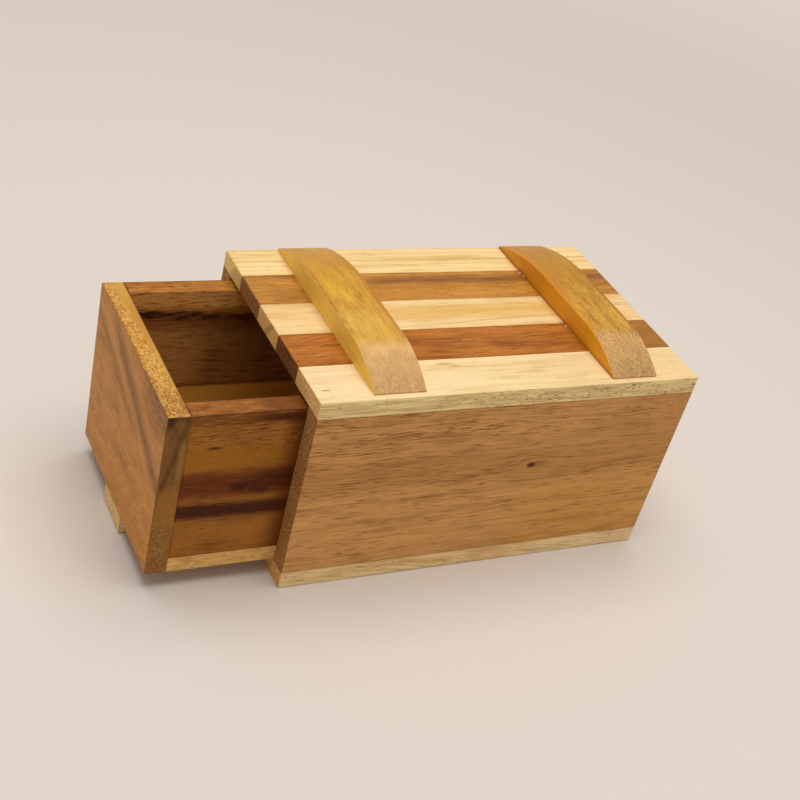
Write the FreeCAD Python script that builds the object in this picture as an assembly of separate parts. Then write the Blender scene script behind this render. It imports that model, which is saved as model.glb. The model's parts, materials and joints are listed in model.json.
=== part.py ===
import FreeCAD, Part
import math
import os

# A wooden treasure chest box: a case with a striped lid board and two arched
# straps, and a drawer that slides out of its left end.
# Millimetres. X runs along the box with the drawer's mouth towards -X,
# Y runs from the front to the back, Z is up from the surface it stands on.

# Case
case_length = 170.0
case_width = 104.4
case_height = 89.6          # up to the lid board's top face
lid_thickness = 7.3
base_thickness = 8.0
side_thickness = 8.3
end_thickness = 8.3

# Lid strips, glued edge to edge along the box; the front one takes the rest of the width
back_strip_width = 19.6
inner_strip_width = 20.8

# Straps, arched boards laid across the lid
strap_width = 21.7
strap_rise = 8.8            # level top above the lid board
strap_front_fall = 27.0     # length over which the top curves down to the front end
strap_back_fall = 38.0      # the same towards the back end, a gentler curve
strap_front_edge = 0.5      # height left at the thin ends
strap_back_edge = 1.0
left_strap_inset = 22.0     # from the case's left end
right_strap_inset = 20.2    # from the case's right end
strap_front_inset = 2.7
strap_back_inset = 0.7

# Drawer
drawer_end_thickness = 8.4
drawer_side_thickness = 8.3
drawer_floor_thickness = 6.8
drawer_out = 51.8           # how far it stands out of the case

# Runner, the middle slat of the underside, which travels with the drawer
runner_width = 21.6

# Clearances
drawer_side_gap = 0.4
drawer_top_gap = 1.1
drawer_under_gap = 0.2
drawer_back_gap = 0.4       # behind the drawer when it is shut
runner_side_gap = 0.4
runner_floor_gap = 0.3
runner_top_gap = 0.4        # under the end panel

# Softened edges
arris = 0.4

# Places worked out from the sizes: the row of case and open drawer is centred on X
left = (drawer_out - case_length) / 2
right = left + case_length
front = -case_width / 2
back = case_width / 2
lid_underside = case_height - lid_thickness
inner_front = front + side_thickness
inner_back = back - side_thickness
inner_right = right - end_thickness
slot_half = runner_width / 2 + runner_side_gap

drawer_left = left - drawer_out
drawer_right = inner_right - drawer_back_gap - drawer_out
drawer_front_y = inner_front + drawer_side_gap
drawer_back_y = inner_back - drawer_side_gap
drawer_bottom_z = base_thickness + drawer_under_gap
drawer_top_z = lid_underside - drawer_top_gap
drawer_floor_z = drawer_bottom_z + drawer_floor_thickness

ROUND_ALL_TOP = ("left top", "right top", "front top", "back top")


def board(x, y, z, softened=()):
    """A board between the given pairs of limits, with the named edges softened.

    An edge is named by the two faces that meet there, such as "front top".
    """
    size = (x[1] - x[0], y[1] - y[0], z[1] - z[0])
    solid = Part.makeBox(*size, FreeCAD.Vector(x[0], y[0], z[0]))
    faces = {
        "left": (0, x[0]), "right": (0, x[1]),
        "front": (1, y[0]), "back": (1, y[1]),
        "bottom": (2, z[0]), "top": (2, z[1]),
    }

    def lies_on(edge, face):
        axis, place = faces[face]
        return all(abs(vertex.Point[axis] - place) < 1e-6 for vertex in edge.Vertexes)

    edges = [
        edge for edge in solid.Edges
        if any(all(lies_on(edge, face) for face in name.split()) for name in softened)
    ]
    return solid.makeFillet(arris, edges) if edges else solid


def lid_strips():
    """The lid board's five strips, from the back to the front."""
    names = ("back", "mid_back", "middle", "mid_front", "front")
    ends = [back, back - back_strip_width]
    for _ in range(len(names) - 2):
        ends.append(ends[-1] - inner_strip_width)
    ends.append(front)
    strips = {}
    for place, name in enumerate(names):
        softened = ["left top", "left bottom", "right top"]
        if name in ("back", "front"):
            softened += [name + " top", name + " left", name + " right"]
        y = (ends[place + 1], ends[place])
        strips["lid_strip_" + name] = board((left, right), y, (lid_underside, case_height), softened)
    return strips


def falling_arc(shoulder, end):
    """The arc that leaves a level top at its shoulder and curves down to an end."""
    fall = end.y - shoulder.y
    drop = shoulder.z - end.z
    radius = (fall ** 2 + drop ** 2) / (2 * drop)
    half_turn = math.atan2(drop, abs(fall))
    out = math.copysign(radius * math.sin(half_turn), fall)
    down = radius * (1 - math.cos(half_turn))
    return Part.Arc(shoulder, shoulder + FreeCAD.Vector(0, out, -down), end).toShape()


def strap(x_start):
    """An arched strap: flat below, level on top, curved down to thin front and back ends."""
    y_front = front + strap_front_inset
    y_back = back - strap_back_inset
    top_z = case_height + strap_rise

    def point(y, z):
        return FreeCAD.Vector(x_start, y, z)

    foot_front = point(y_front, case_height)
    foot_back = point(y_back, case_height)
    end_front = point(y_front, case_height + strap_front_edge)
    end_back = point(y_back, case_height + strap_back_edge)
    shoulder_front = point(y_front + strap_front_fall, top_z)
    shoulder_back = point(y_back - strap_back_fall, top_z)
    outline = Part.Wire([
        Part.makeLine(foot_front, foot_back),
        Part.makeLine(foot_back, end_back),
        falling_arc(shoulder_back, end_back),
        Part.makeLine(shoulder_back, shoulder_front),
        falling_arc(shoulder_front, end_front),
        Part.makeLine(end_front, foot_front),
    ])
    solid = Part.Face(outline).extrude(FreeCAD.Vector(strap_width, 0, 0))
    return solid.makeFillet(strap_arris(), [edge for edge in solid.Edges if runs_over_the_top(edge)])


def strap_arris():
    """The softening of a strap's long edges, limited by its thinnest end."""
    return min(arris, 0.8 * min(strap_front_edge, strap_back_edge))


def runs_over_the_top(edge):
    """True of a strap's long upper edges: the two level stretches and the arcs beside them."""
    is_arc = not isinstance(edge.Curve, Part.Line)
    is_level_top = edge.BoundBox.ZMin > case_height + strap_rise - 1e-6 and edge.BoundBox.YLength > 1e-6
    return is_arc or is_level_top


def straps():
    return {
        "strap_left": strap(left + left_strap_inset),
        "strap_right": strap(right - right_strap_inset - strap_width),
    }


def side_panels():
    """The case's two long sides, between the base boards and the lid."""
    z = (base_thickness, lid_underside)
    return {
        "case_side_front": board((left, right), (front, inner_front), z, ("front left", "front right")),
        "case_side_back": board((left, right), (inner_back, back), z, ("back left", "back right")),
    }


def end_panel():
    """The board that shuts the right end, relieved below where the runner passes."""
    solid = board((inner_right, right), (inner_front, inner_back), (base_thickness, lid_underside))
    relief_top = drawer_bottom_z + runner_top_gap
    relief = board((inner_right, right), (-slot_half, slot_half), (base_thickness, relief_top))
    return {"case_end_panel": solid.cut(relief)}


def base_boards():
    """Two boards with the runner's slot between them."""
    z = (0, base_thickness)
    shared = ("left bottom", "right bottom")
    outer_front = shared + ("front bottom", "front left", "front right")
    outer_back = shared + ("back bottom", "back left", "back right")
    return {
        "base_board_front": board((left, right), (front, -slot_half), z, outer_front),
        "base_board_back": board((left, right), (slot_half, back), z, outer_back),
    }


def drawer():
    """The drawer's box: two ends over the ends of two sides and a floor below the sides."""
    y = (drawer_front_y, drawer_back_y)
    z = (drawer_bottom_z, drawer_top_z)
    inside_left = drawer_left + drawer_end_thickness
    inside_right = drawer_right - drawer_end_thickness
    x_inside = (inside_left, inside_right)
    z_sides = (drawer_floor_z, drawer_top_z)
    face_edges = ROUND_ALL_TOP + ("front left", "back left", "left bottom")
    front_side_y = (drawer_front_y, drawer_front_y + drawer_side_thickness)
    back_side_y = (drawer_back_y - drawer_side_thickness, drawer_back_y)
    long_tops = ("front top", "back top")
    return {
        "drawer_face": board((drawer_left, inside_left), y, z, face_edges),
        "drawer_back": board((inside_right, drawer_right), y, z, ROUND_ALL_TOP),
        "drawer_side_front": board(x_inside, front_side_y, z_sides, long_tops),
        "drawer_side_back": board(x_inside, back_side_y, z_sides, long_tops),
        "drawer_floor": board(x_inside, y, (drawer_bottom_z, drawer_floor_z)),
    }


def runner():
    """The slat under the drawer, as long as the case, so that it fills the slot when shut."""
    x = (drawer_left, drawer_left + case_length)
    y = (-runner_width / 2, runner_width / 2)
    softened = ("left bottom", "right bottom", "front bottom", "back bottom")
    return {"drawer_runner": board(x, y, (runner_floor_gap, drawer_bottom_z), softened)}


def main():
    os.makedirs("parts", exist_ok=True)
    for pieces in (lid_strips(), straps(), side_panels(), end_panel(), base_boards(), drawer(), runner()):
        for name, solid in pieces.items():
            solid.exportStep("parts/" + name + ".step")


main()
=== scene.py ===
import json
import math

import bmesh
import bpy
from bpy.props import FloatProperty, FloatVectorProperty, PointerProperty
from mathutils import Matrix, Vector, noise

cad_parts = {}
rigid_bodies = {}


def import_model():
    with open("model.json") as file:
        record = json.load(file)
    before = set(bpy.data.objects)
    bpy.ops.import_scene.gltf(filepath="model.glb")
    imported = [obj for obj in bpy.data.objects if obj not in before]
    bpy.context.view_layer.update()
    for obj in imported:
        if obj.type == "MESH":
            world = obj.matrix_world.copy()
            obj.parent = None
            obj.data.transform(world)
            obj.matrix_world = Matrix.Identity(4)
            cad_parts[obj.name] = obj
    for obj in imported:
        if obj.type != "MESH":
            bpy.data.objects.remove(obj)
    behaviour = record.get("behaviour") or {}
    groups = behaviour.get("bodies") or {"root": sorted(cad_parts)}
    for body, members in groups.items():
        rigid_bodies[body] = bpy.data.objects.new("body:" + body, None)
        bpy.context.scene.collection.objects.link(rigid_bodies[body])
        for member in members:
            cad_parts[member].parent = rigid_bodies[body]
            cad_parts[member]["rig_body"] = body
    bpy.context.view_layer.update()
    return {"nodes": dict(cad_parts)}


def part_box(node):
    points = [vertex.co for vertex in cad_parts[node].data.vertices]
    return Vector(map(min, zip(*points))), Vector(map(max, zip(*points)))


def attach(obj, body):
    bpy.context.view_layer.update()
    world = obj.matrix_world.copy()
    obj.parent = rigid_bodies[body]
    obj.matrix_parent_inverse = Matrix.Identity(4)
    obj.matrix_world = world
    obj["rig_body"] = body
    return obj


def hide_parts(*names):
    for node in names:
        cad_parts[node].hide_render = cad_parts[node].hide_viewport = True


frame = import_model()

bl_info = {
    "name": "Wooden drawer box",
    "version": (1, 0, 0),
    "blender": (4, 5, 0),
    "location": "3D View > Sidebar > Drawer box",
    "description": "A keepsake box with a striped lid board, two arched straps and a drawer",
    "category": "Object",
}

MILLIMETRE = 0.001
TOUCHING = 1e-6              # metres between things that lie in one place
STRAP_CUTS = 64              # lengths that a strap is cut across into, to follow its curves
SHARP_ANGLE = math.radians(40)
SEED_STEP = 7.31             # from one noise to the next, so that no two are alike
NOISE_SPREAD = 3.6           # widens a noise texture's values, which lie close about 0.5
WEAR_SWELL = 90              # waves in a metre of the arrises' wear
WEAR_RIPPLE = 400            # the same for the finer waves on it
GLUE_MOTTLE = 3000.0         # waves in a metre of the dried glue's tone
RELIEF = 0.00012             # metres by which fibres stand out and pores sink in

RIGHTWARDS = Vector((1, 0, 0))
LEFTWARDS = Vector((-1, 0, 0))
BACKWARDS = Vector((0, 1, 0))
FORWARDS = Vector((0, -1, 0))
DOWNWARDS = Vector((0, 0, -1))


def tone(red, green, blue):
    """A colour as a screen counts it, 0 to 255, turned into the linear light that shaders take."""
    return tuple(((part / 255 + 0.055) / 1.055) ** 2.4 for part in (red, green, blue))


def colour(name, description, *screen):
    """A colour property, with its default given as a screen counts it."""
    return FloatVectorProperty(
        name=name, description=description, subtype="COLOR", size=3, min=0, max=1, default=tone(*screen)
    )


def length(name, description, millimetres):
    """A length property, with its default in millimetres."""
    return FloatProperty(
        name=name, description=description, unit="LENGTH", min=0, default=millimetres * MILLIMETRE
    )


def place(name, description, *metres):
    """A property that holds a place, in metres."""
    return FloatVectorProperty(name=name, description=description, subtype="TRANSLATION", default=metres)


class DrawerBoxSizes(bpy.types.PropertyGroup):
    """Sizes of the straps and of the boards' finish, beside what the frame gives."""

    arris: length("Arris", "Softening of the boards' outer edges", 0.4)
    wear: length("Wear", "How far handling has worn the arrises further in", 0.12)
    cut_step: length("Cut step", "Distance between the cross cuts along a board", 5.0)
    strap_front_fall: length("Front fall", "Length of a strap's curve down to its front end", 27.0)
    strap_back_fall: length("Back fall", "Length of a strap's curve down to its back end", 38.0)
    strap_front_edge: length("Front edge", "Height left at a strap's front end", 0.5)
    strap_back_edge: length("Back edge", "Height left at a strap's back end", 1.0)
    strap_arris: length("Strap arris", "Softening of a strap's long edges", 0.35)
    glue_bead: length("Glue bead", "Width of the dried glue beads at a strap's foot", 0.9)


class DrawerBoxColours(bpy.types.PropertyGroup):
    """Colours of the woods and what marks them."""

    pale: colour("Pale wood", "Lid strips and base boards", 237, 204, 143)
    pale_dark: colour("Pale shade", "Slow darker streaks in the pale wood", 216, 168, 94)
    pale_line: colour("Pale line", "Thin growth lines in the pale wood", 178, 134, 69)
    pale_pore: colour("Pale pore", "Pores in the pale wood", 134, 95, 42)
    pale_end: colour("Pale end", "End grain of the pale wood", 236, 187, 114)
    brown: colour("Brown wood", "The brown lid strip", 180, 123, 43)
    brown_dark: colour("Brown shade", "Purplish band in the brown strip", 126, 74, 34)
    brown_end: colour("Brown end", "End grain of the brown strip", 155, 105, 59)
    russet: colour("Russet wood", "The red-brown lid strip", 169, 100, 26)
    russet_dark: colour("Russet shade", "Darker streaks in the red-brown strip", 132, 68, 16)
    russet_light: colour("Russet light", "Light streaks in the red-brown strip", 202, 136, 76)
    russet_end: colour("Russet end", "End grain of the red-brown strip", 130, 85, 45)
    honey: colour("Honey wood", "The case's sides", 209, 152, 87)
    honey_dark: colour("Honey shade", "Darker bands in the case's sides", 176, 118, 58)
    honey_pore: colour("Honey pore", "Pores in the case's sides", 126, 76, 24)
    honey_end: colour("Honey end", "End grain of the case's sides", 164, 115, 62)
    golden: colour("Golden wood", "The left strap", 200, 146, 38)
    golden_dark: colour("Golden shade", "Darker fibres in the left strap", 172, 112, 12)
    golden_light: colour("Golden light", "Brightest fibres in the left strap", 230, 180, 56)
    amber: colour("Amber wood", "The right strap", 198, 146, 44)
    amber_dark: colour("Amber shade", "Darker fibres in the right strap", 156, 95, 12)
    amber_orange: colour("Amber orange", "Orange streaks in the right strap", 192, 116, 14)
    strap_end: colour("Strap end", "Where a strap's curve cuts across its fibres", 205, 159, 99)
    facing: colour("Face wood", "The drawer's face", 200, 135, 58)
    facing_grey: colour("Face streak", "Grey-brown streaks in the drawer's face", 142, 90, 44)
    rich: colour("Rich wood", "The drawer's sides", 170, 108, 40)
    rich_dark: colour("Rich shade", "Darker streaks in the drawer's sides", 120, 66, 18)
    rich_gold: colour("Gold band", "Yellow bands in the drawer's sides", 170, 108, 18)
    rich_black: colour("Black band", "Nearly black bands in the drawer's sides", 44, 18, 13)
    knot: colour("Knot", "The knot in the case's front side", 92, 28, 8)
    glue: colour("Glue", "Dried glue at the right strap's foot", 236, 220, 190)


class DrawerBoxStage(bpy.types.PropertyGroup):
    """The floor, the lights and the camera."""

    floor: colour("Floor", "The floor's colour", 221, 209, 198)
    floor_size: length("Floor size", "The floor's width", 12000)
    floor_fade: FloatVectorProperty(
        name="Floor fade", description="Where the floor starts and ends to fade into the backdrop",
        unit="LENGTH", size=2, default=(0.3, 1.1),
    )
    sky: FloatProperty(name="Sky", description="Strength of the soft light from all round", default=0.42)
    lamp_power: FloatProperty(
        name="Lamp power", description="Power of the lamp overhead", unit="POWER", default=11.6
    )
    lamp_width: length("Lamp width", "Width of the lamp overhead", 1000)
    lamp_place: place("Lamp place", "Where the lamp hangs", 0.0, 0.0, 1.2)
    camera_place: place("Camera place", "Where the camera stands", -0.25366, -0.39861, 0.35957)
    camera_turn: FloatVectorProperty(
        name="Camera turn", description="How the camera is turned", subtype="EULER",
        default=(math.radians(52.7576), math.radians(-14.0018), math.radians(-25.8304)),
    )
    camera_lens: FloatProperty(name="Lens", description="Focal length", unit="CAMERA", default=61.1426)
    camera_shift: FloatVectorProperty(name="Shift", description="Lens shift", size=2, default=(-0.05, 0.1))


class Value:
    """A number that varies over a surface. Python's operators on it add the nodes that work it out."""

    def __init__(self, look, socket):
        self.look = look
        self.socket = socket

    def maths(self, operation, *operands):
        return self.look.value("ShaderNodeMath", {"operation": operation}, dict(enumerate(operands)))

    def __add__(self, other):
        return self.maths("ADD", self, other)

    __radd__ = __add__

    def __sub__(self, other):
        return self.maths("SUBTRACT", self, other)

    def __rsub__(self, other):
        return self.maths("SUBTRACT", other, self)

    def __mul__(self, other):
        return self.maths("MULTIPLY", self, other)

    __rmul__ = __mul__

    def __truediv__(self, other):
        return self.maths("DIVIDE", self, other)

    def __pow__(self, other):
        return self.maths("POWER", self, other)

    def __abs__(self):
        return self.maths("ABSOLUTE", self)

    def least(self, other):
        return self.maths("MINIMUM", self, other)

    def most(self, other):
        return self.maths("MAXIMUM", self, other)

    def limited(self, low=0.0, high=1.0):
        return self.least(high).most(low)

    def rise(self, low, high):
        """0 below low, 1 above high, and a smooth rise between them."""
        return self.look.value(
            "ShaderNodeMapRange", {"interpolation_type": "SMOOTHSTEP"},
            {"Value": self, "From Min": low, "From Max": high},
        )

    def fall(self, low, high):
        """1 below low, 0 above high, and a smooth fall between them."""
        return 1 - self.rise(low, high)

    def between(self, low, lower, higher, high):
        """0 below low, 1 from lower to higher, 0 above high, and smooth between them."""
        return self.rise(low, lower) * self.fall(higher, high)


class Look:
    """The nodes of a material or of the world, and the one way in which they are made."""

    def __init__(self, owner):
        self.owner = owner
        owner.use_nodes = True
        self.tree = owner.node_tree
        self.tree.nodes.clear()

    def node(self, kind, settings=None, inputs=None):
        """A node of a kind: its settings first, then the values or links of its sockets."""
        made = self.tree.nodes.new(kind)
        for key, setting in (settings or {}).items():
            if key == "stops":
                self.set_stops(made.color_ramp.elements, setting)
            else:
                setattr(made, key, setting)
        for key, given in (inputs or {}).items():
            socket = self.socket(made.inputs, key)
            if isinstance(given, Value):
                self.tree.links.new(given.socket, socket)
            else:
                socket.default_value = given
        return made

    @staticmethod
    def set_stops(elements, stops):
        for _ in range(len(stops) - len(elements)):
            elements.new(1)
        for element, (position, tint) in zip(elements, stops):
            element.position = position
            element.color = (*tint, 1)

    @staticmethod
    def socket(sockets, key):
        if isinstance(key, int):
            return sockets[key]
        return next(socket for socket in sockets if socket.name == key and socket.enabled)

    def value(self, kind, settings=None, inputs=None, output=0):
        """The wrapped output of a new node."""
        return Value(self, self.socket(self.node(kind, settings, inputs).outputs, output))

    def vector(self, operation, inputs, output="Vector"):
        return self.value("ShaderNodeVectorMath", {"operation": operation}, dict(enumerate(inputs)), output)

    def mix(self, factor, first, second):
        """Two colours mixed. Plain colours have three parts."""
        pair = [given if isinstance(given, Value) else (*given, 1) for given in (first, second)]
        return self.value(
            "ShaderNodeMix", {"data_type": "RGBA"}, {"Factor": factor, "A": pair[0], "B": pair[1]}, "Result"
        )

    def two_tones(self, shade, tint, spread):
        """A colour that goes from lighter to darker by its spread as the shade goes from 0 to 1."""
        return self.mix(shade, tinted(tint, 1 + spread), tinted(tint, 1 - spread))

    def surface(self, inputs):
        """Ends a material in one Principled shader."""
        shader = self.value("ShaderNodeBsdfPrincipled", {}, inputs)
        self.node("ShaderNodeOutputMaterial", {}, {"Surface": shader})
        return self.owner


class Timber(Look):
    """Wood that fills a board right through, so that faces show long fibres and ends show end grain.

    Places are millimetres from a corner of the board: along the fibres, across them on the
    face that shows most, and deep, inwards from that face.
    """

    def __init__(self, name, node, along, across, lean, sway, seed):
        super().__init__(bpy.data.materials.new(name))
        self.seed = seed
        ways = (along, across, along.cross(across))
        total = ways[0] + ways[1] + ways[2]
        low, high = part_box(node)
        corner = tuple(low[axis] if total[axis] > 0 else high[axis] for axis in range(3))
        here = self.vector("SUBTRACT", (self.value("ShaderNodeTexCoord", output="Object"), corner))
        facing = self.value("ShaderNodeTexCoord", output="Normal")
        self.along, self.across, self.deep = (self.reach(here, way) for way in ways)
        self.at_end = self.faces(facing, along).rise(0.25, 0.75)
        self.on_side = self.faces(facing, across).rise(0.4, 0.8)
        self.rim = self.near_an_edge([abs((high - low).dot(way)) / MILLIMETRE for way in ways])
        slow = self.cloud(self.along / 55, self.across / 26, self.deep / 26)
        self.ring = self.across + self.deep * lean + slow * sway
        self.turn = self.deep - self.across * lean
        self.colour = None
        self.fibre = None
        self.pore = 0.0

    def reach(self, here, way):
        """How far a place lies along a way, in millimetres."""
        return self.vector("DOT_PRODUCT", (here, tuple(way / MILLIMETRE)), "Value")

    def faces(self, facing, way):
        """1 where the surface faces along a way or against it, 0 where it lies in it."""
        return abs(self.vector("DOT_PRODUCT", (facing, tuple(way)), "Value"))

    def near_an_edge(self, spans):
        """Distance to the board's nearest edge, in millimetres, for a point on its surface.

        A point on a face is next to nothing from that face, so the middle one of its three
        distances says how near the next face is.
        """
        reaches = (self.along, self.across, self.deep)
        near = [reach.least(span - reach) for reach, span in zip(reaches, spans)]
        return near[0].least(near[1]).most(near[0].most(near[1]).least(near[2]))

    def cloud(self, x, y, z, detail=2.0):
        """Cloudy noise about zero, seldom beyond -1 or 1."""
        self.seed += SEED_STEP
        here = self.value("ShaderNodeCombineXYZ", {}, {"X": x + self.seed, "Y": y - self.seed, "Z": z})
        raw = self.value("ShaderNodeTexNoise", {}, {"Vector": here, "Scale": 1.0, "Detail": detail})
        return (raw - 0.5) * NOISE_SPREAD

    def clouds(self, long, wide, thick, detail=2.0):
        """Cloudy noise of a size along the fibres, across them and deep, in millimetres."""
        return self.cloud(self.along / long, self.across / wide, self.deep / thick, detail)

    def streaks(self, long, wide, detail=2.0):
        """Noise drawn out along the fibres, and a little round the rings."""
        return self.cloud(self.along / long, self.ring / wide, self.turn / (2.5 * wide), detail)

    def slanted(self, degrees, long, wide, detail=2.0):
        """Noise drawn out at an angle to the fibres, turned from along towards across."""
        cosine, sine = math.cos(math.radians(degrees)), math.sin(math.radians(degrees))
        with_it = self.along * cosine + self.across * sine
        over_it = self.across * cosine - self.along * sine
        return self.cloud(with_it / long, over_it / wide, self.deep / (2.5 * wide), detail)

    def oval(self, along, across, long, wide):
        """How far out a point lies in an oval round a place, squared: 1 on its outline."""
        return ((self.along - along) / long) ** 2.0 + ((self.across - across) / wide) ** 2.0

    def flow_round(self, along, across, long, wide):
        """Makes the fibres part round a knot."""
        out = self.oval(along, across, long, wide) + 1.0
        self.ring = self.ring - (self.across - across) / out * 0.8

    def ground(self, light, main, dark, broad, middle, fine, mottle, level=0.5):
        """The wood's own colour, from light through its main tone to dark, by streaks and a mottle."""
        self.fibre = self.streaks(12, 0.6, 4)
        shade = (
            level
            + self.streaks(110, 6.5) * broad
            + self.streaks(45, 2.2) * middle
            + self.fibre * fine
            + self.clouds(16, 7, 7, 3) * mottle
        )
        self.colour = self.value(
            "ShaderNodeValToRGB", {"stops": ((0.0, light), (0.5, main), (1.0, dark))}, {"Fac": shade}
        )

    def stain(self, mask, tint):
        """Another colour where a mask says."""
        self.colour = self.mix(mask, self.colour, tint)

    def stain_end(self, mask, tint):
        """Another colour on the end grain, where a mask says."""
        self.stain(self.at_end * mask, tint)

    def stain_side(self, mask, tint):
        """Another colour on the board's narrow sides, where a mask says."""
        self.stain(self.on_side * mask, tint)

    def stain_top(self, mask, tint):
        """Another colour where a mask says, but not on the board's narrow sides."""
        self.stain((1 - self.on_side) * mask, tint)

    def band(self, tint, at, width, strength=0.6, soft=1.0, slope=0.0, start=None, end=None, fade=12.0):
        """A streak of another colour along the fibres. It may slope, and start and end."""
        offset = abs(self.ring - at - (self.along * slope if slope else 0.0))
        mask = offset.fall(max(width / 2 - soft, 0.0), width / 2 + soft)
        if start is not None:
            mask = mask * self.along.rise(start - fade, start + fade)
        if end is not None:
            mask = mask * self.along.fall(end - fade, end + fade)
        uneven = (self.streaks(26, 1.3) * 0.5 + 0.85).limited()
        self.stain(mask * uneven * strength, tint)

    def torn_band(self, tint, at, width, strength, slope=0.0, rough=1.2, soft=1.2, within=1.0):
        """A streak with torn edges, of even strength along it. A mask may say where it shows."""
        offset = abs(self.across + self.clouds(6, 0.8, 1, 4) * rough - self.along * slope - at)
        self.stain(offset.fall(width / 2 - soft, width / 2 + soft) * within * strength, tint)

    def flecks(self, tint, long, wide, strength, low=0.2):
        """Small soft flecks, not much longer than they are wide."""
        self.stain(self.clouds(long, wide, wide, 3).rise(low, low + 0.8) * strength, tint)

    def patch(self, tint, along, across, strength, fade=4.0):
        """A faintly bounded area between two places along the fibres and two across them."""
        mask = 1.0
        for reach, (start, end) in ((self.along, along), (self.across, across)):
            mask = reach.between(start - fade, start + fade, end - fade, end + fade) * mask
        uneven = (self.clouds(12, 5, 5, 3) * 0.6 + 0.8).limited()
        self.stain(mask * uneven * strength, tint)

    def lines(self, tint, spacing, strength, sharp=0.25, long=110):
        """Thin wavy growth lines."""
        growth = self.cloud(self.along / long, self.ring / spacing, self.turn / (3 * spacing), 1.0)
        patchy = self.streaks(50, 3).rise(-0.6, 0.8)
        self.stain(abs(growth).fall(0.0, sharp) * patchy * strength, tint)

    def pores(self, tint, long, wide, cover, strength, crowd=0.35, more=0.0):
        """Short dark dashes where the vessels are cut, and dots at the ends.

        Cover is what the noise must pass, so less of it gives more pores; crowd varies it
        from place to place, and more adds pores where it says.
        """
        crowded = self.cloud(self.along / 26, self.ring / 5, self.turn / 8, 3) * crowd + more
        dash = self.cloud(self.along / long, self.ring / wide, self.turn / wide, 1.0)
        mask = (dash + crowded).rise(cover, cover + 0.3)
        self.pore = mask.most(self.pore)
        self.stain(mask * strength, tint)

    def spot(self, tint, along, across, long, wide, strength, soft=0.35):
        """A small oval mark on the face."""
        mark = (self.oval(along, across, long, wide) ** 0.5).fall(1 - soft, 1 + soft)
        self.stain(mark * self.deep.fall(0.3, 2.5) * strength, tint)

    def ends(self, tint, spread, grain=1.0, banding=0.4):
        """End grain: rings and speckles, where a face cuts across the fibres."""
        speckle = self.clouds(3, grain, grain, 4)
        rings = self.cloud(self.along / 60, self.ring / 2.6, self.turn / 14)
        shade = (speckle + rings * banding).rise(-0.7, 0.7)
        self.stain_end(0.95, self.two_tones(shade, tint, spread))

    def edges(self, tint, width, strength):
        """Edges rubbed or darkened by handling, unevenly. Given a paler tint, it paints a highlight on them
        instead.
        """
        uneven = (self.clouds(9, 9, 9, 3) * 0.7 + 0.7).limited()
        self.stain(self.rim.fall(width * 0.4, width * 1.3) * uneven * strength, tint)

    def done(self, roughness=0.5, shine=0.16):
        """A thin oiled finish that follows the fibres and sinks into the pores."""
        height = self.fibre * 0.15 - self.pore
        rough = self.fibre * 0.05 + self.at_end * 0.15 + self.pore * 0.15 + roughness
        bump = self.value("ShaderNodeBump", {}, {"Strength": 0.5, "Distance": RELIEF, "Height": height})
        return self.surface({
            "Base Color": self.colour, "Roughness": rough.limited(0.2, 0.95),
            "Normal": bump, "Specular IOR Level": shine,
        })


def sizes():
    return bpy.context.scene.drawer_box_sizes


def colours():
    return bpy.context.scene.drawer_box_colours


def tinted(tint, *factors):
    """A colour made lighter or darker, by one factor or one for each of its parts."""
    each = factors if len(factors) == 3 else factors * 3
    return tuple(min(part * factor, 1.0) for part, factor in zip(tint, each))


def pale_timber(name, node, seed, lean, cast, across=FORWARDS, sway=0.8):
    """Pale sapwood: cream with a cast of its own, with tan streaks and flecks."""
    tints = colours()
    main = tinted(tints.pale, *cast)
    shade = tinted(tints.pale_dark, *cast)
    wood = Timber(name, node, RIGHTWARDS, across, lean, sway, seed)
    wood.ground(tinted(main, 1.06, 1.08, 1.12), main, shade, 0.3, 0.35, 0.38, 0.25, 0.42)
    wood.flecks(shade, 3.0, 1.2, 0.4)
    return wood


def back_strip_timber():
    tints = colours()
    wood = pale_timber("Pale wood of the back strip", "lid_strip_back", 1.0, 0.9, (0.99, 0.99, 0.95))
    wood.lines(tints.pale_line, 2.2, 0.3)
    for at, width, strength in ((9.3, 0.8, 0.7), (4.2, 0.5, 0.4), (13.0, 0.5, 0.35)):
        wood.band(tints.pale_line, at, width, strength, 0.5)
    wood.band(tinted(tints.pale_dark, 0.85, 0.9, 0.8), 8.3, 3.6, 0.6, 1.6, start=62, end=118)
    wood.pores(tints.pale_pore, 4, 0.45, 0.7, 0.5)
    wood.ends(tinted(tints.pale_end, 1.34, 1.35, 1.16), 0.14)
    wood.stain_end((wood.across + wood.deep * 0.89).rise(12.0, 13.0) * 0.5, tinted(tints.pale_end, 0.7))
    wood.edges(tinted(tints.pale_dark, 0.8), 0.8, 0.4)
    return wood.done()


def middle_strip_timber():
    tints = colours()
    wood = pale_timber(
        "Pale wood of the middle strip", "lid_strip_middle", 11.0, 0.82, (0.96, 0.935, 0.94), sway=1.2
    )
    wood.stain(wood.clouds(30, 12, 12, 3).rise(-0.1, 0.9) * 0.55, tinted(tints.pale_dark, 1.03))
    wood.lines(tints.pale_line, 1.8, 0.42)
    wood.lines(tints.pale_line, 1.2, 0.35, 0.2, 60)
    wood.band(tinted(tints.pale_line, 0.95), 21.4, 0.7, 0.6, 0.45, slope=-0.062, start=54, end=126)
    wood.band(tinted(tints.pale_dark, 1.0, 0.98, 0.65), 9.0, 9.0, 0.75, 3.0, start=45, end=150)
    wood.pores(tints.pale_pore, 4, 0.45, 0.7, 0.4)
    wood.ends(tinted(tints.pale_end, 1.25, 1.02, 0.92), 0.16)
    diagonal = abs(wood.across + wood.deep * 0.82 - 14.6)
    wood.stain_end(diagonal.fall(0.6, 2.4) * 0.6, tinted(tints.pale_end, 0.5))
    wood.edges(tinted(tints.pale_dark, 0.8), 0.8, 0.4)
    return wood.done()


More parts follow.
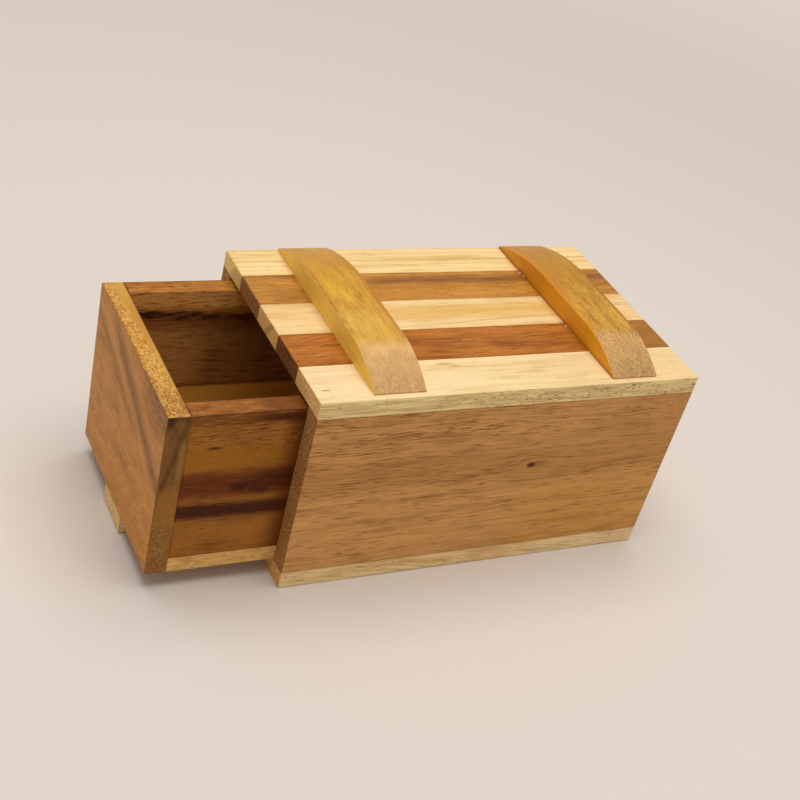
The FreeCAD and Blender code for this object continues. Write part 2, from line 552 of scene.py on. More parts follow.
def front_strip_timber():
    tints = colours()
    wood = pale_timber("Pale wood of the front strip", "lid_strip_front", 23.0, 0.2, (0.96, 0.99, 1.06))
    wood.patch(tinted(tints.pale, 1.05, 1.08, 1.36), (-9, 60), (-9, 40), 0.7, 15)
    wood.patch(tinted(tints.pale_dark, 1.1, 1.26, 2.2), (100, 190), (-9, 40), 0.45, 15)
    wood.lines(tints.pale_line, 2.9, 0.25)
    wood.pores(tints.pale_pore, 3.5, 0.45, 0.75, 0.45)
    wood.spot(tinted(tints.pale_line, 0.8), 4.8, 15.0, 1.8, 0.4, 0.8, 0.7)
    wood.spot(tints.pale_line, 59, 3.0, 3.5, 0.6, 0.6, 0.6)
    wood.spot(tints.pale_line, 63, 4.6, 2.5, 0.5, 0.6, 0.6)
    mark_sawn_side(wood)
    wood.ends(tinted(tints.pale_end, 1.0, 0.97, 1.0), 0.2)
    wood.stain_end(wood.slanted(0, 9, 1.2).rise(0.2, 0.9) * 0.35, tinted(tints.pale_end, 0.65))
    # Painted highlight: a lighter rim along the front strip's arrises.
    wood.edges(tinted(tints.pale, 1.05), 0.7, 0.5)
    return wood.done()


def mark_sawn_side(wood):
    """The front strip's narrow side: fine lines of two tones, and short dashes, most to the right."""
    tints = colours()
    shade = (wood.clouds(16, 4, 0.8, 4) + wood.clouds(24, 4, 2.4, 3) * 0.5).rise(-0.7, 0.7)
    wood.stain_side(0.95, wood.two_tones(shade, tinted(tints.pale, 1.18, 1.04, 0.98), 0.3))
    dashes = wood.clouds(2.6, 4, 0.4) + wood.clouds(12, 4, 2.5) * 0.4 + wood.along.rise(10, 90) * 0.3
    wood.stain_side((dashes + 0.02).rise(0.5, 0.9) * 0.85, tinted(tints.pale_pore, 1.05, 0.85, 0.6))


def brown_strip_timber():
    tints = colours()
    wood = Timber("Brown wood of the lid", "lid_strip_mid_back", RIGHTWARDS, FORWARDS, 0.3, 1.2, 31.0)
    main = tinted(tints.brown, 1.0, 1.0, 1.2)
    wood.ground(tinted(main, 1.3), main, tinted(main, 0.7, 0.68, 0.75), 0.25, 0.3, 0.45, 0.35)
    wood.band(tints.brown_dark, 6.0, 5.0, 0.9, 2.0, start=52)
    wood.band(tints.brown_dark, 1.2, 2.2, 0.8, 1.2, start=6, end=26, fade=4)
    wood.band(tinted(tints.russet, 0.95), 11.0, 2.4, 0.6, 1.5, start=50)
    wood.patch(tinted(tints.brown, 1.25, 1.2, 1.3), (40, 130), (12, 24), 0.65, 2)
    wood.flecks(tinted(tints.brown, 0.7), 4.0, 1.6, 0.4)
    wood.pores(tinted(tints.brown_dark, 0.62), 3, 0.4, 0.5, 0.5, more=wood.across.rise(8, 14) * 0.15)
    wood.ends(tints.brown_end, 0.25)
    wood.edges(tinted(tints.brown_dark, 0.7), 0.7, 0.5)
    return wood.done()


def russet_strip_timber():
    tints = colours()
    wood = Timber("Red-brown wood of the lid", "lid_strip_mid_front", RIGHTWARDS, FORWARDS, 0.5, 2.2, 41.0)
    main = tinted(tints.russet, 0.98, 0.98, 1.3)
    wood.ground(tinted(main, 1.3), main, tints.russet_dark, 0.25, 0.3, 0.45, 0.3)
    slanting = wood.slanted(-16, 12, 0.6, 3).rise(0.1, 0.7) * wood.along.fall(16, 40)
    wood.stain(slanting * 0.7, tints.russet_light)
    flatter = wood.slanted(-5, 20, 0.7, 3).rise(0.2, 0.9) * wood.along.rise(50, 70)
    wood.stain(flatter * 0.55, tints.russet_light)
    wood.stain(wood.along.rise(140, 160) * 0.65, tinted(tints.brown, 0.68, 0.7, 0.8))
    wood.pores(tinted(tints.russet_dark, 0.5), 3.5, 0.45, 0.5, 0.55)
    wood.ends(tinted(tints.russet_end, 0.7), 0.3)
    wood.stain_end(wood.clouds(1, 0.8, 0.8, 3).rise(0.1, 0.6) * 0.7, tinted(tints.russet_end, 2.4, 2.4, 2.8))
    wood.edges(tinted(tints.russet_dark, 0.7), 0.7, 0.5)
    return wood.done()


def strap_timber(name, node, seed, light, main, dark, side, pores):
    """A strap's straight-grained golden wood, whose fibres lie smoothest on its sides, which take a paler
    copy of it as painted light.
    """
    wood = Timber(name, node, BACKWARDS, RIGHTWARDS, 0.2, 0.9, seed)
    wood.ground(light, main, dark, 0.2, 0.25, 0.3, 0.45)
    wood.flecks(tinted(dark, 1.0, 0.97, 0.5), 9.0, 3.5, 0.6, 0.0)
    wood.flecks(tinted(dark, 0.85), 3.0, 1.2, 0.35, 0.1)
    fibres = wood.clouds(5, 0.5, 1.0, 3)
    wood.stain(fibres.rise(0.0, 0.7) * 0.65, light)
    wood.stain((0 - fibres).rise(0.1, 0.8) * 0.5, tinted(dark, 0.85))
    wood.pores(tinted(dark, 0.65), 2.4, 0.45, pores, 0.5, 0.3)
    # Painted light: the sides take the paler side colour, a lit copy of the wood.
    shade = wood.clouds(20, 4, 0.9, 4).rise(-0.9, 0.9)
    wood.stain_side(0.92, wood.mix(shade, tinted(side, 1.1), tinted(side, 0.87)))
    # Painted shade: a dark line along the top's right edge, where the strap's right side turns away into
    # shade.
    wood.stain_top(wood.across.rise(19.0, 21.0) * 0.6, tinted(dark, 0.6))
    return wood


def cut_across(wood, tint, spread, fine, broad):
    """The front curve of a strap, which cuts across its fibres and looks tan and speckled."""
    ragged = wood.clouds(8, 0.8, 3) * 1.8
    speckled = wood.clouds(1.1, 0.7, 1.1, 3) * fine + wood.clouds(11, 8, 6, 1) * broad
    shade = (speckled + wood.along.fall(1, 9) * 0.4).rise(-0.75, 0.95)
    wood.stain_top((wood.along + ragged).fall(17.5, 24.5) * 0.92, wood.two_tones(shade, tint, spread))


def golden_strap_timber():
    tints = colours()
    light = tints.golden_light
    # The last colour given, far paler than the wood, is painted light on the strap's sides.
    wood = strap_timber(
        "Golden wood of the left strap", "strap_left", 5.0, tinted(light, 1.0, 1.0, 1.3),
        tints.golden, tints.golden_dark, tinted(tints.golden, 1.9, 2.05, 4.9), 0.5,
    )
    wood.stain_top(wood.along.fall(34, 52) * 0.35, tinted(light, 0.95, 1.0, 2.4))
    brightest = wood.across.between(1, 4, 8, 14) * wood.along.between(42, 56, 80, 94)
    wood.stain_top(brightest * 0.35, tinted(light, 0.95, 0.9, 0.35))
    # Painted shade: a soft dark line along the crease where the strap's left side meets its top.
    broken = wood.clouds(7, 3, 1, 4).rise(-0.5, 0.4)
    crease = wood.across.fall(0.4, 2.2) * wood.along.between(20, 30, 82, 94) * broken
    wood.stain_top(crease * 0.8, tinted(tints.golden_dark, 0.8, 0.6, 0.7))
    wood.stain_top(wood.across.rise(13, 20) * 0.4, tinted(tints.golden_dark, 1.05, 1.05, 2.4))
    wood.stain_top(wood.along.rise(52, 84) * 0.7, tinted(tints.golden, 0.86, 0.76, 0.42))
    cut_across(wood, tinted(tints.strap_end, 1.03, 1.02, 0.97), 0.2, 0.75, 1.0)
    lower_right = (wood.across * 0.5 - wood.along).rise(-10, 6) * wood.along.fall(14, 22)
    wood.stain_top(lower_right * 0.5, tinted(tints.strap_end, 0.66, 0.6, 0.66))
    wood.ends(tints.strap_end, 0.25)
    return wood.done(0.42, 0.25)


def amber_strap_timber():
    tints = colours()
    orange = tints.amber_orange
    # The last colour given, far paler than the wood, is painted light on the strap's sides.
    wood = strap_timber(
        "Amber wood of the right strap", "strap_right", 15.0, tinted(tints.amber, 1.25, 1.3, 1.7),
        tints.amber, tints.amber_dark, tinted(orange, 1.52, 1.9, 3.0), 0.25,
    )
    wood.stain_top(wood.across.fall(3, 10) * wood.along.rise(34, 60) * 0.55, orange)
    back_left = wood.along.rise(50, 78) * wood.across.fall(13, 22)
    wood.stain_top(back_left * 0.55, tinted(orange, 0.92, 0.92, 0.7))
    wood.stain_top(wood.along.rise(45, 70) * 0.6, tinted(tints.amber, 0.78, 0.7, 0.35))
    # This tint darkens the sides' painted light towards the back.
    wood.stain_side(wood.along.rise(40, 66) * 0.4, tinted(orange, 1.2, 1.45, 2.4))
    crease = wood.across.fall(0.5, 3.5) * wood.along.rise(4, 16)
    wood.stain_top(crease * 0.6, tinted(orange, 1.1, 1.2, 1.8))
    # This tint makes the sides' painted light paler at the front.
    wood.stain_side(wood.along.fall(16, 46) * 0.4, tinted(orange, 1.7, 2.3, 5.0))
    # Painted shade: darker at the side's foot, where the strap meets the lid.
    wood.stain_side(wood.deep.rise(6.5, 8.6) * 0.6, tinted(tints.amber_dark, 0.9, 0.75, 0.8))
    cut_across(wood, tinted(tints.strap_end, 0.82, 0.79, 0.77), 0.38, 1.0, 0.3)
    wood.ends(tinted(tints.strap_end, 0.85), 0.3)
    return wood.done(0.42, 0.25)


def honey_timber(name, node, along, seed, knot=None):
    """The case's honey brown wood, whose fibres may part round a knot."""
    tints = colours()
    wood = Timber(name, node, along, DOWNWARDS, 0.3, 1.6, seed)
    if knot:
        wood.flow_round(*knot, 10.0, 3.5)
    light = tinted(tints.honey, 1.16, 1.16, 1.12)
    wood.ground(light, tints.honey, tinted(tints.honey_dark, 0.88), 0.35, 0.25, 0.18, 0.3, 0.45)
    return wood


def finish_honey(wood):
    """What the case's honey brown boards have in common: end grain and darkened edges."""
    wood.ends(colours().honey_end, 0.5, 0.9, 0.2)
    wood.edges(tinted(colours().honey_pore, 0.8), 0.6, 0.45)
    return wood.done()


def front_side_timber():
    """The case's front side, which shows a darker band and one knot."""
    tints = colours()
    knot = (100.6, 31.2)
    wood = honey_timber("Honey wood of the front side", "case_side_front", RIGHTWARDS, 53.0, knot)
    wood.band(tints.honey_dark, 29.5, 14, 0.55, 4.0)
    wood.patch(tinted(tints.golden, 1.1, 1.06, 1.75), (100, 190), (38, 90), 0.45, 14)
    wood.lines(tints.honey_pore, 2.0, 0.3)
    wood.stain(wood.streaks(42, 0.6).rise(0.15, 0.9) * 0.25, tinted(tints.honey_pore, 1.2))
    wood.stain(wood.streaks(30, 0.7).rise(0.2, 0.9) * 0.35, tinted(tints.honey, 1.25, 1.25, 1.2))
    upper_right = wood.along.rise(120, 165) * wood.across.fall(15, 40)
    wood.stain(upper_right * 0.4, tinted(tints.honey, 0.85, 0.75, 0.65))
    crowded = wood.along.fall(30, 150) * wood.across.fall(30, 60) * 0.25
    wood.pores(tints.honey_pore, 7, 0.5, 0.62, 0.7, 0.5, crowded)
    wood.pores(tints.honey_pore, 12, 0.42, 0.6, 0.7, 0.5, crowded)
    wood.spot(tints.honey_pore, 103.3, 31.0, 4.6, 1.2, 0.6, 0.6)
    wood.spot(tinted(tints.knot, 1.8, 1.8, 2.0), *knot, 2.0, 1.35, 0.8)
    wood.spot(tints.knot, *knot, 1.45, 0.95, 0.92)
    return finish_honey(wood)


def plain_side_timber(name, node, along, seed):
    """The case's other boards of the same wood, with fainter bands."""
    tints = colours()
    wood = honey_timber(name, node, along, seed)
    wood.band(tints.honey_dark, 45.0, 9, 0.5, 4.0)
    wood.band(tints.honey_dark, 14.0, 5, 0.4, 3.0)
    wood.lines(tints.honey_pore, 2.0, 0.25)
    wood.pores(tints.honey_pore, 3.5, 0.34, 0.5, 0.6, 0.5)
    wood.pores(tints.honey_pore, 7, 0.45, 0.65, 0.45, 0.6)
    return finish_honey(wood)


def base_timber(name, node, seed, cast=(1.08, 1.1, 1.2), end_cast=(0.84, 0.76, 0.78), across=DOWNWARDS):
    """Pale wood of the base, the runner and the drawer's floor."""
    tints = colours()
    wood = pale_timber(name, node, seed, 0.5, cast, across)
    shade = tinted(tints.pale_dark, *cast)
    wood.stain(wood.slanted(9, 16, 1.1, 4).rise(-0.1, 0.7) * 0.65, tinted(shade, 0.8, 0.8, 0.75))
    wood.stain(wood.slanted(12, 9, 0.8, 4).rise(0.1, 0.8) * 0.5, tinted(tints.pale, 1.15, 1.2, 1.4))
    for along, strength in (((84, 106), 0.5), ((150, 168), 0.4)):
        wood.patch(tinted(shade, 0.95, 0.82, 0.9), along, (-9, 9), strength)
    wood.lines(tints.pale_line, 1.5, 0.5)
    wood.stain(wood.along.rise(100, 165) * 0.35, tinted(tints.pale, 1.18, 1.28, 1.7))
    wood.pores(tints.pale_pore, 3.2, 0.45, 0.5, 0.55)
    wood.ends(tinted(tints.pale_end, *end_cast), 0.18)
    wood.edges(tinted(tints.pale_dark, 0.7), 0.7, 0.4)
    return wood.done()


def drawer_face_timber():
    """The drawer's face: orange brown, with grey-brown streaks that fall to the front."""
    tints = colours()
    wood = Timber("Honey wood of the drawer's face", "drawer_face", FORWARDS, DOWNWARDS, 0.4, 2.6, 67.0)
    main = tints.facing
    wood.ground(tinted(main, 1.2, 1.2, 1.3), main, tinted(main, 0.7, 0.66, 0.6), 0.12, 0.12, 0.15, 0.45)
    below = (wood.across - wood.along * 0.3).rise(12, 30)
    above = 1 - below
    wood.stain(wood.slanted(-38, 9, 3.0, 3).rise(0.0, 0.8) * below * 0.7, tinted(main, 1.25, 1.3, 1.55))
    wood.stain(wood.slanted(-38, 7, 1.8, 4).rise(0.1, 0.8) * below * 0.6, tinted(main, 0.72, 0.66, 0.55))
    wood.stain(wood.slanted(24, 15, 1.9, 4).rise(0.0, 0.9) * above * 0.7, tinted(main, 0.6, 0.56, 0.58))
    wood.stain(wood.slanted(24, 12, 1.2, 4).rise(0.1, 0.8) * above * 0.6, tinted(main, 1.25, 1.3, 1.9))
    wood.flecks(tinted(main, 0.66, 0.62, 0.58), 4.0, 2.4, 0.6, 0.1)
    grey = tinted(tints.facing_grey, 1.0, 1.04, 0.88)
    blush = tinted(main, 1.18, 1.22, 1.75)
    within = wood.along.rise(14, 36)
    wood.torn_band(blush, 2.0, 4.0, 0.5, 0.44, 3.0, 2.0, within)
    wood.torn_band(blush, -13.0, 4.0, 0.6, 0.44, 3.0, 2.0, within)
    wood.torn_band(blush, 5.5, 3.5, 0.5, 0.31, 3.0, 2.0, wood.along.fall(36, 56))
    wood.torn_band(tinted(grey, 1.15), -6.5, 9.0, 0.5, 0.44, 4.0, 4.0, within)
    wood.torn_band(tinted(grey, 0.82), -5.5, 4.0, 0.7, 0.44, 3.5, 1.8, within)
    wood.torn_band(tinted(grey, 1.15, 1.1, 0.95), 11.0, 5.0, 0.6, 0.31, 3.0, 2.5, wood.along.fall(50, 68))
    wood.stain(wood.along.rise(48, 72) * wood.across.fall(8, 20) * 0.3, tinted(grey, 0.9))
    spotted = wood.clouds(3, 2, 1, 4).rise(-0.7, 0.5)
    wood.stain(spotted * wood.along.rise(54, 72) * wood.across.fall(5, 13) * 0.62, tinted(grey, 0.5))
    wood.pores(tints.honey_pore, 3, 0.45, 0.75, 0.4)
    mark_face_ends(wood)
    mark_face_top(wood)
    wood.edges(tinted(tints.rich, 0.6), 0.7, 0.4)
    return wood.done()


def mark_face_ends(wood):
    """The narrow front and back edges of the drawer's face, where its end grain shows."""
    end = tinted(colours().honey_end, 0.78, 0.75, 0.55)
    wood.ends(end, 0.3)
    upper = wood.across.fall(22, 42)
    wood.stain_end(upper * 0.75, tinted(end, 0.66, 0.6, 0.48))
    cloudy = wood.clouds(1, 6, 2, 4)
    wood.stain_end(upper * cloudy.rise(0, 0.8) * 0.7, tinted(end, 0.34, 0.3, 0.26))
    wood.stain_end((0 - cloudy).rise(0.2, 0.9) * 0.4, tinted(end, 1.3, 1.25, 1.2))
    diagonal = abs(wood.across + wood.deep * 4.5 - 38.6)
    wood.stain_end(diagonal.fall(1, 8) * 0.65, tinted(end, 0.4, 0.34, 0.25))
    strip = wood.deep.rise(5, 7) * wood.across.between(9, 14, 24, 32)
    wood.stain_end(strip * 0.65, tinted(end, 1.2, 1.4, 1.8))
    wood.stain_end(wood.across.between(30, 36, 44, 54) * 0.45, tinted(end, 1.35, 1.2, 0.7))
    wood.stain_end(wood.across.fall(0.5, 4) * 0.6, tinted(end, 0.2))
    wood.stain_end(wood.across.fall(3, 7) * wood.deep.fall(1.5, 4.5) * 0.8, tinted(end, 0.12))


def mark_face_top(wood):
    """The top edge of the drawer's face: golden, with a lace of dark and light flecks."""
    tints = colours()
    gold = tinted(tints.golden, 0.97, 1.0, 2.5)
    wood.stain_side(0.95, gold)
    cloudy = wood.clouds(5, 1, 2.5, 4)
    wood.stain_side(cloudy.rise(0.0, 0.9) * 0.6, tinted(gold, 0.85, 0.72, 0.5))
    orange = wood.deep.rise(4, 6.5) * wood.along.between(8, 18, 38, 50)
    wood.stain_side(orange * 0.6, tinted(gold, 0.82, 0.66, 0.45))
    shadowed = (wood.deep.fall(0.4, 1.6) * wood.along.rise(5, 15)).most(wood.along.rise(60, 82) * 0.9)
    wood.stain_side(shadowed * cloudy.rise(-0.9, 0.2) * 0.8, tinted(tints.rich, 0.62, 0.55, 0.8))
    flecked = (wood.deep - wood.along * 0.07).fall(2.2, 4.4)
    stroke = wood.along + wood.deep * 0.6
    lace = wood.cloud(stroke / 1.2, wood.across / 2, (wood.deep - wood.along * 0.3) / 0.85, 3)
    wood.stain_side((0 - lace).rise(0.0, 0.6) * flecked * 0.55, tinted(tints.pale, 0.95, 0.84, 0.55))
    wood.stain_side(lace.rise(-0.1, 0.5) * flecked * 0.7, tinted(tints.rich, 1.0, 0.93, 0.9))
    darkest = lace.rise(0.3, 0.7) * flecked * wood.along.rise(10, 70)
    wood.stain_side(darkest * 0.7, tinted(tints.rich, 0.6, 0.5, 0.6))


def rich_timber(name, node, seed, along=RIGHTWARDS, depth=1.0):
    """The drawer's rich brown wood."""
    tints = colours()
    wood = Timber(name, node, along, DOWNWARDS, 0.2, 1.8, seed)
    main = tinted(tints.rich, depth)
    dark = tinted(tints.rich_dark, depth)
    wood.ground(tinted(main, 1.25, 1.2, 1.0), main, dark, 0.12, 0.18, 0.3, 0.35, 0.45)
    return wood


def finish_rich(wood, top, shaded=0.0):
    """What the drawer's boards have in common: pores, sawn tops, end grain and dark edges, with painted
    shade on the sawn tops where shaded says.
    """
    tints = colours()
    wood.pores(tinted(tints.rich_black, 2.0), 3.0, 0.4, 0.65, 0.6, 0.4)
    # Shaded paints shade: it darkens the sawn tops where it is given.
    tones = (wood.clouds(9, 1, 1.2, 4) + shaded).rise(-0.7, 0.9)
    wood.stain_side(0.92, wood.mix(tones, tinted(top, 1.3), tinted(top, 0.6, 0.52, 0.5)))
    strokes = wood.cloud((wood.along + wood.deep * 1.6) / 3.0, wood.across, wood.deep / 0.9, 4)
    wood.stain_side(strokes.rise(0.2, 0.7) * 0.7, tinted(tints.rich_dark, 0.6, 0.5, 0.6))
    wood.ends(tinted(tints.rich, 0.75), 0.3)
    wood.edges(tinted(tints.rich_black, 1.5), 0.7, 0.5)
    return wood.done(shine=0.1)


def drawer_front_side_timber():
    """The drawer's front side: brown, gold, red-brown and nearly black bands."""
    tints = colours()
    wood = rich_timber("Banded wood of the drawer's front side", "drawer_side_front", 71.0, depth=0.86)
    red = tinted(tints.rich_dark, 0.6, 0.36, 0.15)
    black = tinted(tints.rich_black, 1.5, 0.78, 0.5)
    upper = wood.across.fall(11, 17)
    wood.stain(wood.across.fall(3, 8) * 0.55, tinted(tints.rich_dark, 0.85))
    fine = wood.slanted(-3, 6, 0.8, 4)
    wood.stain(fine.rise(0.1, 0.6) * upper * 0.65, tinted(tints.rich, 1.2, 1.35, 2.1))
    wood.stain((0 - fine).rise(0.1, 0.6) * upper * 0.8, tinted(red, 1.4))
    wood.band(tinted(tints.rich_gold, 0.88), 21.0, 8.0, 0.8, 2.6)
    wood.torn_band(tinted(red, 1.4), 32.5, 13.0, 0.7, soft=3.5)
    wood.torn_band(red, 32.5, 9.0, 0.7, soft=2.5)
    wood.torn_band(black, 31.0, 9.0, 0.75, soft=3.0, within=wood.along.rise(20, 42))
    wood.torn_band(black, 44.3, 7.2, 0.92, slope=0.02, soft=2.1)
    wood.torn_band(tinted(black, 1.2), 1.6, 3.4, 0.85, slope=0.05, within=wood.along.rise(16, 34))
    in_red = wood.across.between(24, 28, 37, 40)
    wood.stain(fine.rise(0.0, 0.5) * in_red * 0.3, tinted(tints.rich, 0.75, 0.62, 0.5))
    in_black = wood.across.between(39, 43, 46, 49)
    wood.stain(fine.rise(0.1, 0.6) * in_black * 0.25, tinted(red, 1.5))
    curls = abs(wood.clouds(1.8, 1.4, 2, 3) - 0.25).fall(0.1, 0.5)
    ingrown = curls * wood.oval(26, 34, 9, 4.5).fall(0.1, 1.0) * wood.deep.fall(0.3, 2.5)
    wood.stain(ingrown * 0.85, tinted(black, 1.6, 2.0, 2.6))
    wood.spot(black, 22.5, 34.0, 2.6, 1.6, 0.7, 0.7)
    wood.spot(black, 32.0, 37.0, 3.4, 1.3, 0.7, 0.7)
    wood.spot(black, 10.5, 15.2, 2.6, 0.6, 0.8, 0.8)
    # Painted shade: darker near the case's mouth, where the case and the lid shade the drawer's side.
    wood.stain(wood.along.between(34, 44, 60, 95) * 0.7, tinted(red, 0.8))
    # The last argument is painted shade on the top edge, darkening it towards the case's mouth.
    return finish_rich(wood, tinted(tints.rich, 0.74, 0.72, 0.95), wood.along.rise(22, 42) * 1.4)


def drawer_back_side_timber():
    """The drawer's back side, which shows its inner face: olive brown with a ragged black streak."""
    tints = colours()
    wood = rich_timber("Banded wood of the drawer's back side", "drawer_side_back", 83.0)
    # The inner face takes paler tints than the outer one: partly its own olive brown, partly painted light
    # on a face that the lid and the case shade.
    inside = wood.deep.fall(2, 6)
    wood.stain(wood.across.rise(12, 22) * inside * 0.8, tinted(tints.rich, 1.25, 1.75, 3.4))
    wood.stain(wood.across.fall(6.5, 9.5) * inside * 0.9, tinted(tints.rich, 1.9, 2.4, 4.4))
    wisps = wood.slanted(2, 6, 0.9, 4)
    wood.stain(wisps.rise(0.0, 0.6) * wood.across.fall(7, 11) * 0.7, tinted(tints.rich_dark, 1.3, 1.2, 1.4))
    # On the inner face these lighter wisps are partly painted light as well.
    lighter = (0 - wisps).rise(0.1, 0.7) * 0.5
    wood.stain(lighter * inside, tinted(tints.rich, 1.9, 2.6, 4.0))
    wood.stain(lighter * (1 - inside), tinted(tints.rich_gold, 1.2))
    wood.stain(wood.slanted(3, 12, 1.6, 4).rise(0.0, 0.7) * wood.across.rise(10, 16) * 0.7, tints.rich_dark)
    wood.torn_band(tinted(tints.rich_dark, 1.1, 1.3, 3.0), 12.0, 9.0, 0.6, 0.06, 3.5, 2.8)
    wood.torn_band(tinted(tints.rich_black, 1.0, 1.3, 2.0), 9.8, 2.8, 0.9, 0.06, 2.6, 1.3)
    shadowed = wood.along.rise(20, 42) * wood.across.between(9, 14, 42, 48)
    wood.stain(shadowed * 0.45, tinted(tints.rich_dark, 0.5, 0.4, 0.4))
    wood.torn_band(tinted(tints.rich_dark, 0.7), 45.0, 1.6, 0.7, soft=0.8)
    # On the inner face this band's pale tint is partly painted light as well.
    low_band = wood.across.between(45.5, 47, 54, 57)
    wood.stain(low_band * inside * 0.8, tinted(tints.rich, 1.9, 2.8, 3.8))
    wood.stain(low_band * (1 - inside) * 0.5, tints.rich_gold)
    return finish_rich(wood, tinted(tints.rich, 0.93, 0.97, 1.07))


def glue_finish():
    """Dried glue: pale, glossy and a little uneven."""
    look = Look(bpy.data.materials.new("Dried glue"))
    here = look.value("ShaderNodeTexCoord", output="Object")
    uneven = look.value("ShaderNodeTexNoise", {}, {"Vector": here, "Scale": GLUE_MOTTLE, "Detail": 2.0})
    glue = colours().glue
    tint = look.mix(uneven, glue, tinted(glue, 0.8, 0.74, 0.62))
    return look.surface({"Base Color": tint, "Roughness": uneven * 0.2 + 0.1})


def seen_directly(look):
    """1 where the camera sees a surface, also in a reflection, and 0 where it only lights others."""
    path = look.node("ShaderNodeLightPath")
    seen = Value(look, path.outputs["Is Camera Ray"])
    for ray in ("Is Glossy Ray", "Is Transmission Ray"):
        seen = seen.most(Value(look, path.outputs[ray]))
    return seen


def lies_on(edge, low, high, name):
    """True if an edge lies on both of the box's faces that its name gives, such as front top."""
    faces = {
        "left": (0, low.x), "right": (0, high.x), "front": (1, low.y),
        "back": (1, high.y), "bottom": (2, low.z), "top": (2, high.z),
    }
    named = [faces[word] for word in name.split()]
    return all(abs(vert.co[axis] - at) < TOUCHING for axis, at in named for vert in edge.verts)


def block(low, high):
    """A bmesh block between two corners."""
    shape = bmesh.new()
    bmesh.ops.create_cube(shape, size=1)
    bmesh.ops.scale(shape, vec=high - low, verts=shape.verts)
    bmesh.ops.translate(shape, vec=(low + high) / 2, verts=shape.verts)
    return shape


def cross_cut(shape, axis, start, end, count):
    """Cuts a shape into a count of equal lengths on an axis, with every face kept."""
    normal = Vector([float(axis == other) for other in range(3)])
    for step in range(1, count):
        at = start + (end - start) * step / count
        geometry = shape.verts[:] + shape.edges[:] + shape.faces[:]
        bmesh.ops.bisect_plane(shape, geom=geometry, plane_co=normal * at, plane_no=normal)


def wear_arrises(shape, edges, radius, wear):
    """Rounds edges and then wears the rounding in by an uneven amount."""
    if not edges:
        return
    rounded = bmesh.ops.bevel(
        shape, geom=edges, offset=radius, offset_type="OFFSET", segments=3,
        profile=0.5, affect="EDGES", clamp_overlap=True, material=-1,
    )
    shape.normal_update()
    for vert in rounded["verts"]:
        swell = noise.noise(vert.co * WEAR_SWELL)
        ripple = noise.noise(vert.co * WEAR_RIPPLE)
        vert.co -= vert.normal * wear * max(0.5 + 0.5 * swell + 0.25 * ripple, 0.0)


def sawn_board(node, softened):
    """A board of a CAD piece's size, cross cut along its length, with worn arrises where named."""
    low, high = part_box(node)
    shape = block(low, high)
    span = high - low
    longest = max(range(3), key=lambda axis: span[axis])
    cross_cut(shape, longest, low[longest], high[longest], round(span[longest] / sizes().cut_step))
    edges = [edge for edge in shape.edges if any(lies_on(edge, low, high, name) for name in softened)]
    wear_arrises(shape, edges, sizes().arris, sizes().wear)
    return shape


def strap_height(at, low, high, rise):
    """A strap's height above its foot: level in the middle, curving down to both ends."""
    given = sizes()
    ends = (
        (at - low, given.strap_front_fall, given.strap_front_edge),
        (high - at, given.strap_back_fall, given.strap_back_edge),
    )
    lowest = rise
    for run, fall, edge in ends:
        drop = rise - edge
        radius = (fall ** 2 + drop ** 2) / (2 * drop)
        short = max(fall - run, 0.0)
        lowest = min(lowest, rise - radius + math.sqrt(radius ** 2 - short ** 2))
    return lowest


def arched_strap(node):
    """A strap: a block cut across at short steps, with its top drawn down to thin ends."""
    low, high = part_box(node)
    shape = block(low, high)
    cross_cut(shape, 1, low.y, high.y, STRAP_CUTS)
    for vert in shape.verts:
        if vert.co.z > low.z + TOUCHING:
            vert.co.z = low.z + strap_height(vert.co.y, low.y, high.y, high.z - low.z)
    edges = []
    for edge in shape.edges:
        run = edge.verts[0].co - edge.verts[1].co
        is_above = all(vert.co.z > low.z + TOUCHING for vert in edge.verts)
        if is_above and abs(run.x) < TOUCHING < abs(run.y):
            edges.append(edge)
    wear_arrises(shape, edges, sizes().strap_arris, sizes().wear * 0.5)
    return shape


def new_mesh(name, shape, material):
    """A mesh of a finished shape, with its material."""
    mesh = bpy.data.meshes.new(name)
    shape.to_mesh(mesh)
    shape.free()
    mesh.materials.append(material)
    return mesh


def new_object(name, data):
    """A new object in the scene."""
    made = bpy.data.objects.new(name, data)
    bpy.context.scene.collection.objects.link(made)
    return made


def add_piece(name, shape, material, body):
    """Makes a mesh object of a shape, smooth but for its sharp edges, riding on a body."""
    bmesh.ops.recalc_face_normals(shape, faces=shape.faces)
    mesh = new_mesh(name, shape, material)
    mesh.shade_smooth()
    mesh.set_sharp_from_angle(angle=SHARP_ANGLE)
    piece = new_object(name, mesh)
    even = piece.modifiers.new("Even shading", "WEIGHTED_NORMAL")
    even.keep_sharp = True
    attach(piece, body)
    return piece


def stand_for(node, shape, material):
    """Puts a modelled piece in the place of a CAD piece."""
    piece = add_piece(node + "_wood", shape, material, frame["nodes"][node]["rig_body"])
    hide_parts(node)


def stand_board(node, softened, material):
    """Puts a sawn board in the place of a CAD piece."""
    stand_for(node, sawn_board(node, softened), material)


def dress(node, material):
    """Gives a CAD piece a better material."""
    mesh = frame["nodes"][node].data
    mesh.materials.clear()
    mesh.materials.append(material)


class DRAWERBOX_OT_lid(bpy.types.Operator):
    """Add the lid board's five strips"""

    bl_idname = "drawerbox.lid"
    bl_label = "Lid strips"

    def execute(self, context):
        strips = {
            "back": (back_strip_timber, "light_wood"),
            "mid_back": (brown_strip_timber, "brown_wood"),
            "middle": (middle_strip_timber, "light_wood"),
            "mid_front": (russet_strip_timber, "red_brown_wood"),
            "front": (front_strip_timber, "light_wood"),
        }
        for name, (timber, slot) in strips.items():
            softened = ["left top", "left bottom", "right top"]
            if name in ("back", "front"):
                softened += [name + " top", name + " left", name + " right"]
            stand_board("lid_strip_" + name, softened, timber())
        return {"FINISHED"}


